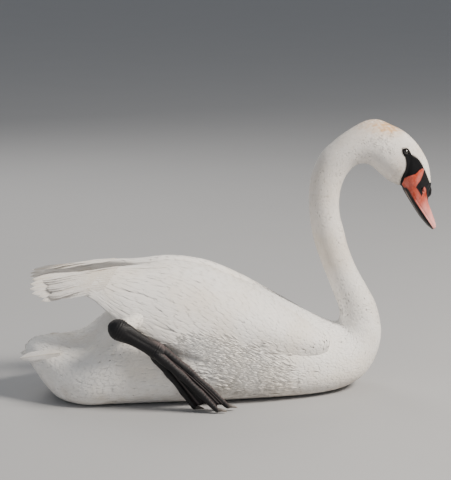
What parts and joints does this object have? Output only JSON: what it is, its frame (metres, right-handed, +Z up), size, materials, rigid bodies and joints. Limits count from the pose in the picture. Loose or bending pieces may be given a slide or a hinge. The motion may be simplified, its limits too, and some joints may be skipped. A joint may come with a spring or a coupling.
{
  "type": "mute swan",
  "caption": "Life-size still model of an adult mute swan resting on its belly, neck arched, bill pointing down, one leg stretched beside the body.",
  "frame": {"origin": "on the floor under the body, at the middle of the belly's resting flat, on the bird's mid plane", "axes": "+X from the tail to the breast along the body, +Y towards the bird's left, +Z up"},
  "size_m": [0.7308, 0.3384, 0.4775],
  "materials": {
    "plumage": "dense soft white feathers, warm cream on the crown",
    "flight_feathers": "long smooth white vanes, matt",
    "bill_orange": "smooth horn, orange red paling to pink at the tip",
    "bill_black": "smooth dark horn",
    "bare_black_skin": "bare black skin, slightly waxy",
    "leg_skin": "grey black scaled leathery skin",
    "claw": "dull dark horn",
    "eye": "wet dark brown"
  },
  "bodies": {
    "root": {"trunk": "plumage", "neck_base": "plumage", "neck_middle": "plumage", "neck_upper": "plumage", "head": "plumage", "knob": "bare_black_skin", "bill_upper": "bill_orange", "bill_lower": "bill_black", "tail": "flight_feathers", "eye_right": "eye", "wing_right": "plumage", "primaries_right": "flight_feathers", "thigh_right": "plumage", "tarsus_right": "leg_skin", "foot_right": "leg_skin", "claw_right_2": "claw", "claw_right_3": "claw", "claw_right_4": "claw", "eye_left": "eye", "wing_left": "plumage", "primaries_left": "flight_feathers", "thigh_left": "plumage", "tarsus_left": "leg_skin", "foot_left": "leg_skin", "claw_left_2": "claw", "claw_left_3": "claw", "claw_left_4": "claw"}
  },
  "joints": []
}
